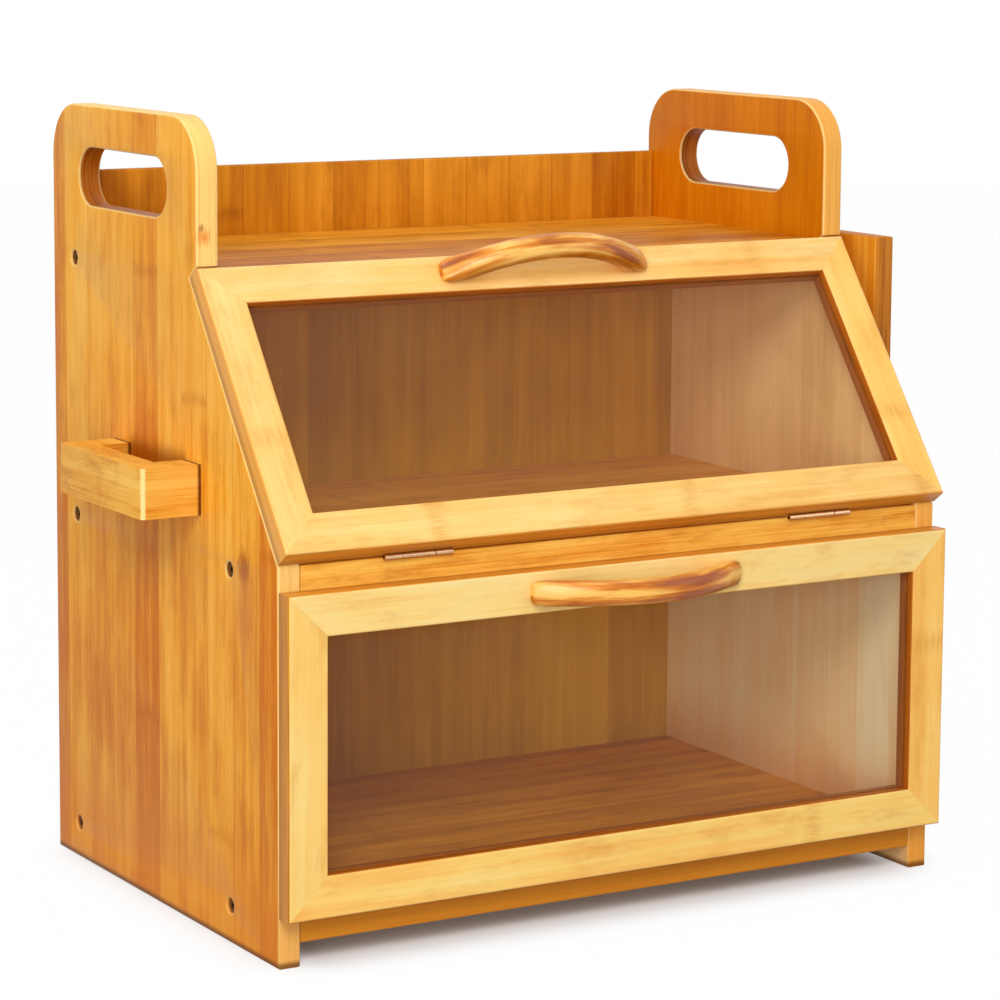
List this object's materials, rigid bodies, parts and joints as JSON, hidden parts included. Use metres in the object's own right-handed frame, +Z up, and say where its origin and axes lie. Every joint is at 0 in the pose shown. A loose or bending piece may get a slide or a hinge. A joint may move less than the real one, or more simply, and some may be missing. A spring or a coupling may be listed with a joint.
{
  "type": "bread box",
  "caption": "Bamboo counter-top bread box with glazed drop-down doors over an upper and a lower compartment, a tray shelf, carrying ears, a knife holder and a board rack.",
  "frame": {"origin": "on the counter, under the middle of the whole object's outline, handles, knife holder and board rack included", "axes": "+Z up, +X to the right seen from the doors, +Y from the doors to the back"},
  "size_m": [0.466, 0.3082, 0.416],
  "materials": {
    "honey_bamboo": "lacquered vertical-grain bamboo, satin",
    "pale_bamboo": "natural bamboo, satin lacquer",
    "caramel_bamboo": "carbonised bamboo, gloss lacquer",
    "clear_pane": "clear acrylic sheet",
    "hardware_steel": "nickel-plated steel"
  },
  "bodies": {
    "carcass": {"back_panel_lower": "honey_bamboo", "back_panel_upper": "honey_bamboo", "board_rack_dowels": "pale_bamboo", "board_rack_ledge": "honey_bamboo", "board_rack_outer_board": "honey_bamboo", "board_rack_rear_strip": "honey_bamboo", "bottom_board": "honey_bamboo", "carcass_hinge_screws": "hardware_steel", "cross_rail": "honey_bamboo", "knife_holder_bar": "honey_bamboo", "knife_holder_dowels": "pale_bamboo", "knife_holder_front_block": "honey_bamboo", "knife_holder_rear_block": "honey_bamboo", "lower_catch_magnets": "hardware_steel", "lower_left_hinge_fixed_leaf": "hardware_steel", "lower_left_hinge_pin": "hardware_steel", "lower_right_hinge_fixed_leaf": "hardware_steel", "lower_right_hinge_pin": "hardware_steel", "mid_shelf": "honey_bamboo", "panel_screws_left": "hardware_steel", "panel_screws_right": "hardware_steel", "side_panel_left": "honey_bamboo", "side_panel_right": "honey_bamboo", "top_shelf": "honey_bamboo", "upper_catch_magnets": "hardware_steel", "upper_left_hinge_fixed_leaf": "hardware_steel", "upper_left_hinge_pin": "hardware_steel", "upper_right_hinge_fixed_leaf": "hardware_steel", "upper_right_hinge_pin": "hardware_steel", "upstand": "honey_bamboo"},
    "upper_door": {"upper_door_bottom_rail": "pale_bamboo", "upper_door_handle": "caramel_bamboo", "upper_door_handle_screws": "hardware_steel", "upper_door_hinge_screws": "hardware_steel", "upper_door_left_stile": "pale_bamboo", "upper_door_pane": "clear_pane", "upper_door_right_stile": "pale_bamboo", "upper_door_strike_plates": "hardware_steel", "upper_door_top_rail": "pale_bamboo", "upper_left_hinge_door_leaf": "hardware_steel", "upper_right_hinge_door_leaf": "hardware_steel"},
    "lower_door": {"lower_door_bottom_rail": "pale_bamboo", "lower_door_handle": "caramel_bamboo", "lower_door_handle_screws": "hardware_steel", "lower_door_hinge_screws": "hardware_steel", "lower_door_left_stile": "pale_bamboo", "lower_door_pane": "clear_pane", "lower_door_right_stile": "pale_bamboo", "lower_door_strike_plates": "hardware_steel", "lower_door_top_rail": "pale_bamboo", "lower_left_hinge_door_leaf": "hardware_steel", "lower_right_hinge_door_leaf": "hardware_steel"}
  },
  "joints": [
    {"name": "upper_door_hinge", "type": "hinge", "parent": "carcass", "child": "upper_door", "pos_m": [0, -0.11545, 0.20215], "axis": [1, 0, 0], "range_deg": [0, 125]},
    {"name": "lower_door_hinge", "type": "hinge", "parent": "carcass", "child": "lower_door", "pos_m": [0, -0.11545, 0.02465], "axis": [1, 0, 0], "range_deg": [0, 84]}
  ]
}
